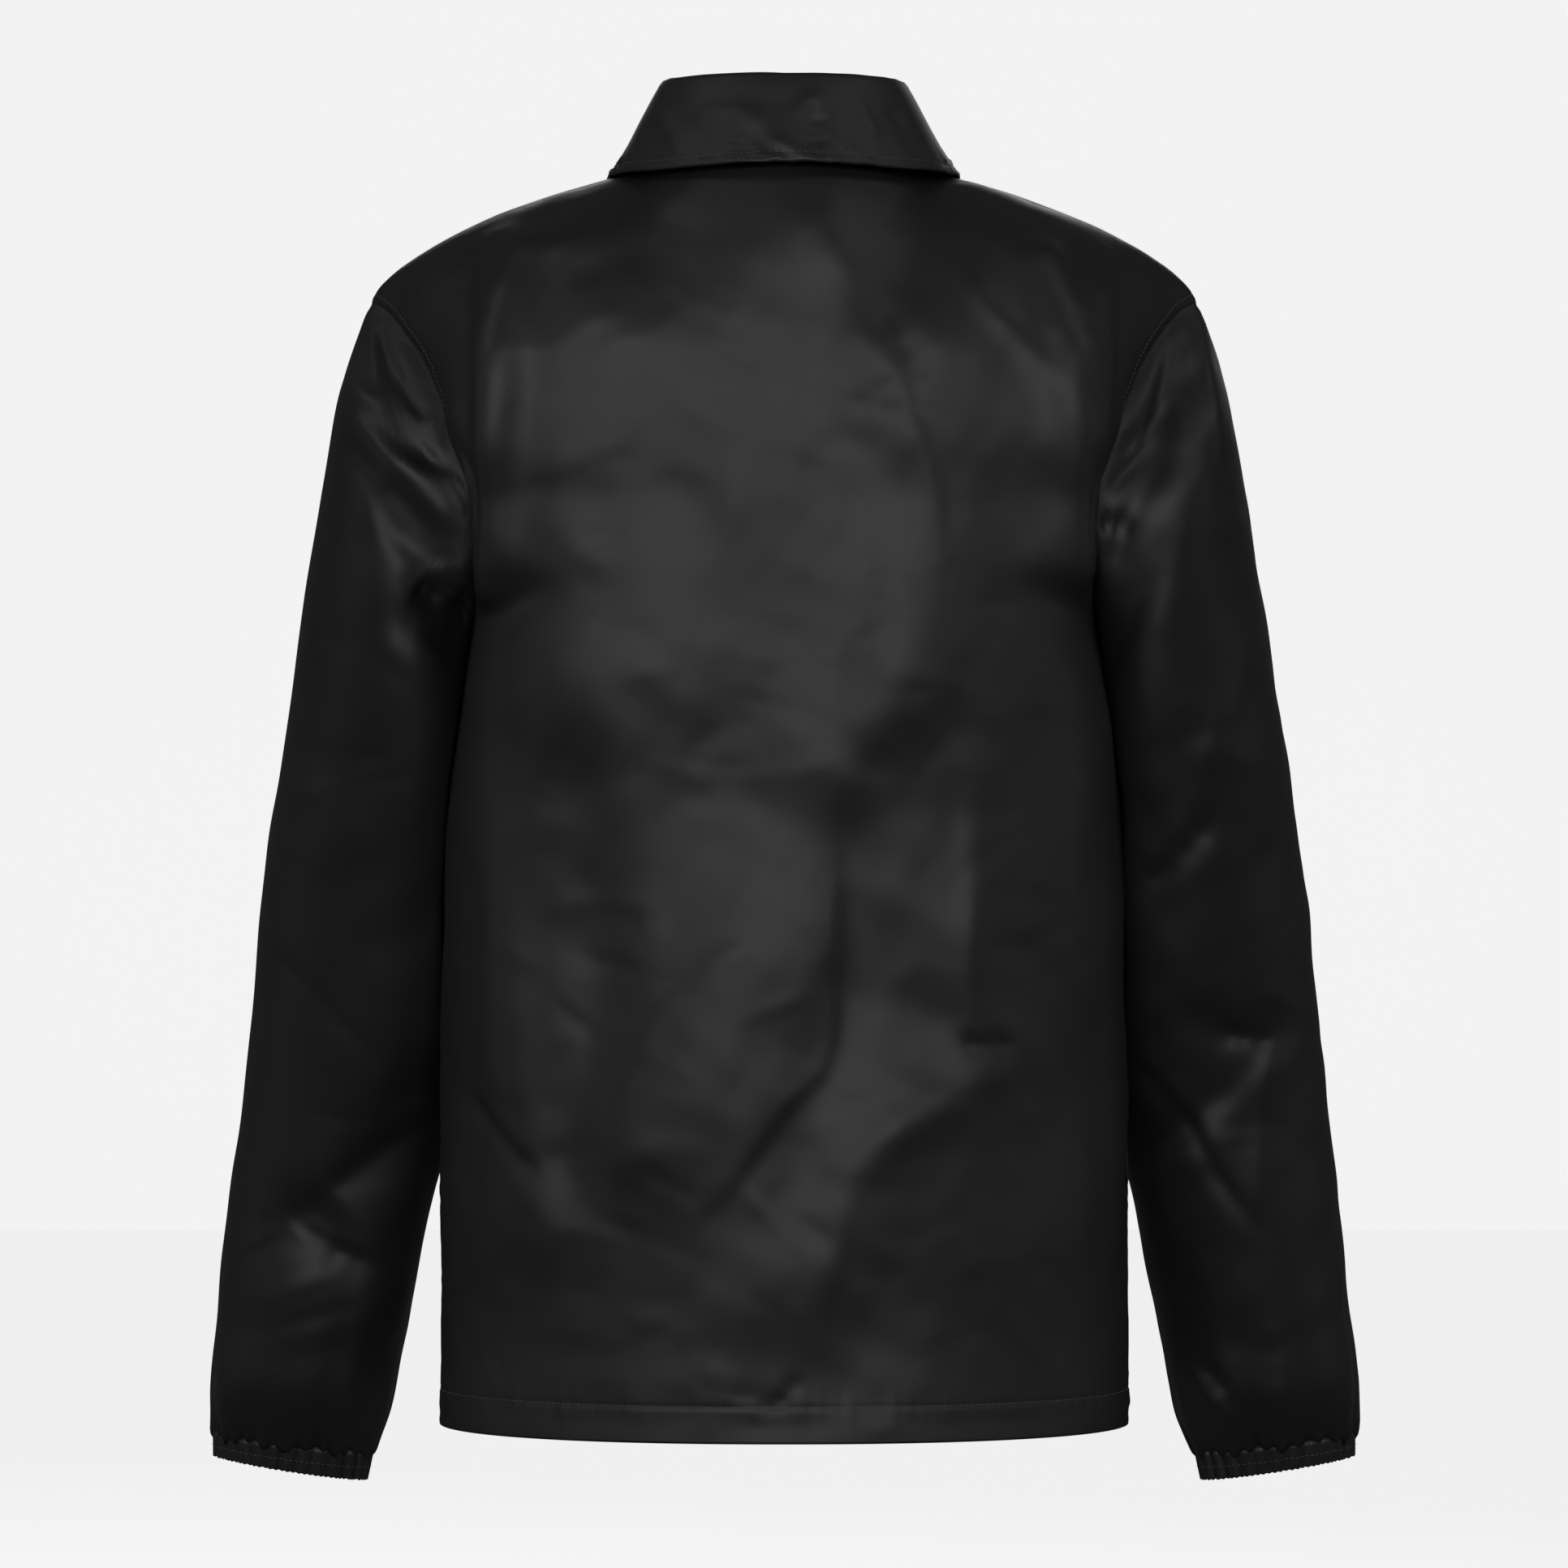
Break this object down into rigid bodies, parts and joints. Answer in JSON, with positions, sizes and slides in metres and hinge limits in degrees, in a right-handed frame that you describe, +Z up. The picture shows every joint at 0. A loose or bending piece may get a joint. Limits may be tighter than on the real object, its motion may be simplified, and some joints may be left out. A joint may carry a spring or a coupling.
{
  "type": "coach jacket",
  "caption": "Plain black coach jacket in its worn form with nobody inside: fold-over collar, set-in sleeves, gathered elastic cuffs and a snap front.",
  "frame": {"origin": "middle of the neck at shoulder height, where the wearer's shoulders carry the jacket", "axes": "+Z up from the hem to the collar, the front opening faces -Y, the back faces +Y, the wearer's left arm is at +X"},
  "size_m": [0.6664, 0.2844, 0.7987],
  "materials": {
    "shell": "satin woven nylon",
    "snap": "satin black paint"
  },
  "bodies": {
    "root": {"back": "shell", "front_left": "shell", "front_right": "shell", "sleeve_left": "shell", "sleeve_right": "shell", "cuff_left": "shell", "cuff_right": "shell", "collar": "shell", "snap_1": "snap", "snap_2": "snap", "snap_3": "snap", "snap_4": "snap", "snap_5": "snap", "snap_6": "snap"}
  },
  "joints": []
}
